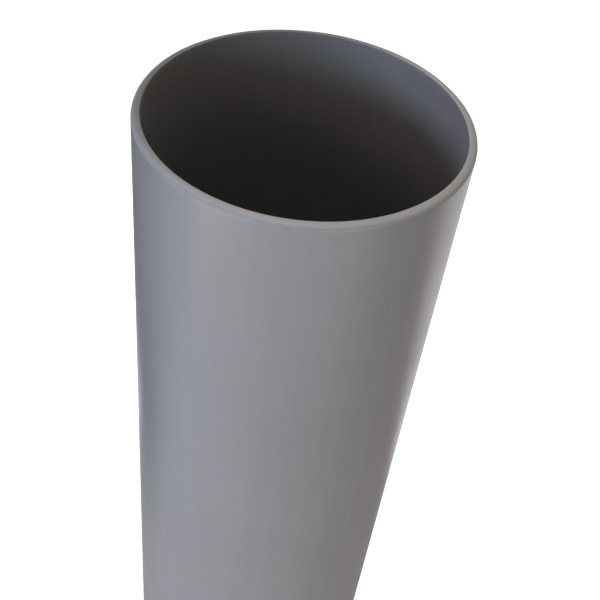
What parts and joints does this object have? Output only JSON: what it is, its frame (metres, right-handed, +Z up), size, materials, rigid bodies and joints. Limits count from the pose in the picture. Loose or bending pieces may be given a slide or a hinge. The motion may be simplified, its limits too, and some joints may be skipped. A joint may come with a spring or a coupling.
{
  "type": "pvc drain pipe",
  "caption": "Plain-ended grey PVC drain pipe: a thin-walled round tube, cut square, that carries waste or rain water between socketed fittings.",
  "frame": {"origin": "centre of the lower cut end, which stands on the floor", "axes": "+Z up along the pipe's bore; the pipe is round, so X and Y are free"},
  "size_m": [0.125, 0.125, 1],
  "materials": {
    "grey_pvc": "satin extruded grey PVC-U, paler and matt on the sawn ends"
  },
  "bodies": {
    "root": {"pipe": "grey_pvc"}
  },
  "joints": []
}
